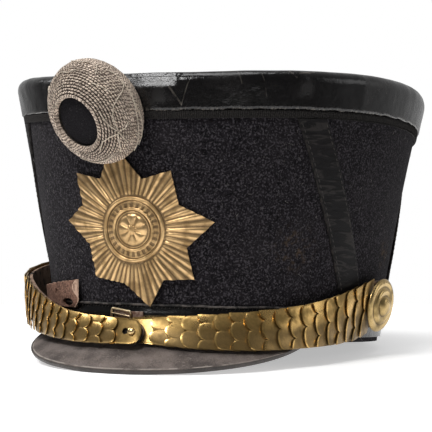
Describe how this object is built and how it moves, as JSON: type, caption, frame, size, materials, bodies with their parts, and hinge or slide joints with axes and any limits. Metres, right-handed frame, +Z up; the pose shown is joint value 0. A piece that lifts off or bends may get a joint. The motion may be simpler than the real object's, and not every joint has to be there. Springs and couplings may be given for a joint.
{
  "type": "shako hat",
  "caption": "Felt shako hat that widens towards a leather-bound top, with a sloping leather peak, a brass star, a wound cockade and a chin chain of brass scales.",
  "frame": {"origin": "under the middle of the whole hat, on the surface that it rests on", "axes": "+Z up; -Y towards the front, where the peak is; +X to the right as seen from the front"},
  "size_m": [0.2312, 0.2728, 0.1585],
  "materials": {
    "felt": "matt napped felt with a little lint",
    "rim_leather": "glossy black leather, scuffed and crazed",
    "tape_cloth": "dull ribbed tape",
    "trim_leather": "black leather, half worn, stitched along the edges",
    "peak_leather": "dry grey-brown leather, mottled",
    "chain_leather": "dark strap leather with pale cut edges",
    "tab_leather": "rough reddish-brown leather with pale cut edges",
    "star_brass": "stamped gilt brass, brown in the grooves",
    "chain_brass": "aged brass, olive-brown patches, bright edges",
    "buckle_brass": "pale worn brass",
    "metal_thread": "tarnished silver-tan metal thread, wound",
    "black_cloth": "black velvet"
  },
  "bodies": {
    "root": {"base_band": "trim_leather", "buckle_frame": "buckle_brass", "buckle_strap": "tab_leather", "chin_end_plate": "chain_brass", "chin_scale_left_01": "chain_brass", "chin_scale_left_02": "chain_brass", "chin_scale_left_03": "chain_brass", "chin_scale_left_04": "chain_brass", "chin_scale_left_05": "chain_brass", "chin_scale_left_06": "chain_brass", "chin_scale_left_07": "chain_brass", "chin_scale_left_08": "chain_brass", "chin_scale_left_09": "chain_brass", "chin_scale_left_10": "chain_brass", "chin_scale_left_11": "chain_brass", "chin_scale_left_12": "chain_brass", "chin_scale_left_13": "chain_brass", "chin_scale_left_14": "chain_brass", "chin_scale_left_15": "chain_brass", "chin_scale_left_16": "chain_brass", "chin_scale_left_17": "chain_brass", "chin_scale_left_18": "chain_brass", "chin_scale_left_19": "chain_brass", "chin_scale_right_01": "chain_brass", "chin_scale_right_02": "chain_brass", "chin_scale_right_03": "chain_brass", "chin_scale_right_04": "chain_brass", "chin_scale_right_05": "chain_brass", "chin_scale_right_06": "chain_brass", "chin_scale_right_07": "chain_brass", "chin_scale_right_08": "chain_brass", "chin_scale_right_09": "chain_brass", "chin_scale_right_10": "chain_brass", "chin_scale_right_11": "chain_brass", "chin_scale_right_12": "chain_brass", "chin_scale_right_13": "chain_brass", "chin_scale_right_14": "chain_brass", "chin_scale_right_15": "chain_brass", "chin_scale_right_16": "chain_brass", "chin_scale_right_17": "chain_brass", "chin_strap_left": "chain_leather", "chin_strap_right": "chain_leather", "chin_stud": "chain_brass", "chin_tongue_plate": "chain_brass", "cockade_centre": "black_cloth", "cockade_winding": "metal_thread", "crown_body": "felt", "crown_top": "rim_leather", "peak": "peak_leather", "rim_band": "rim_leather", "rim_tape": "tape_cloth", "rosette_left": "chain_brass", "rosette_right": "chain_brass", "side_strap_left_front": "trim_leather", "side_strap_left_rear": "trim_leather", "side_strap_right_front": "trim_leather", "side_strap_right_rear": "trim_leather", "star_badge": "star_brass", "tie_tab": "tab_leather"}
  },
  "joints": []
}
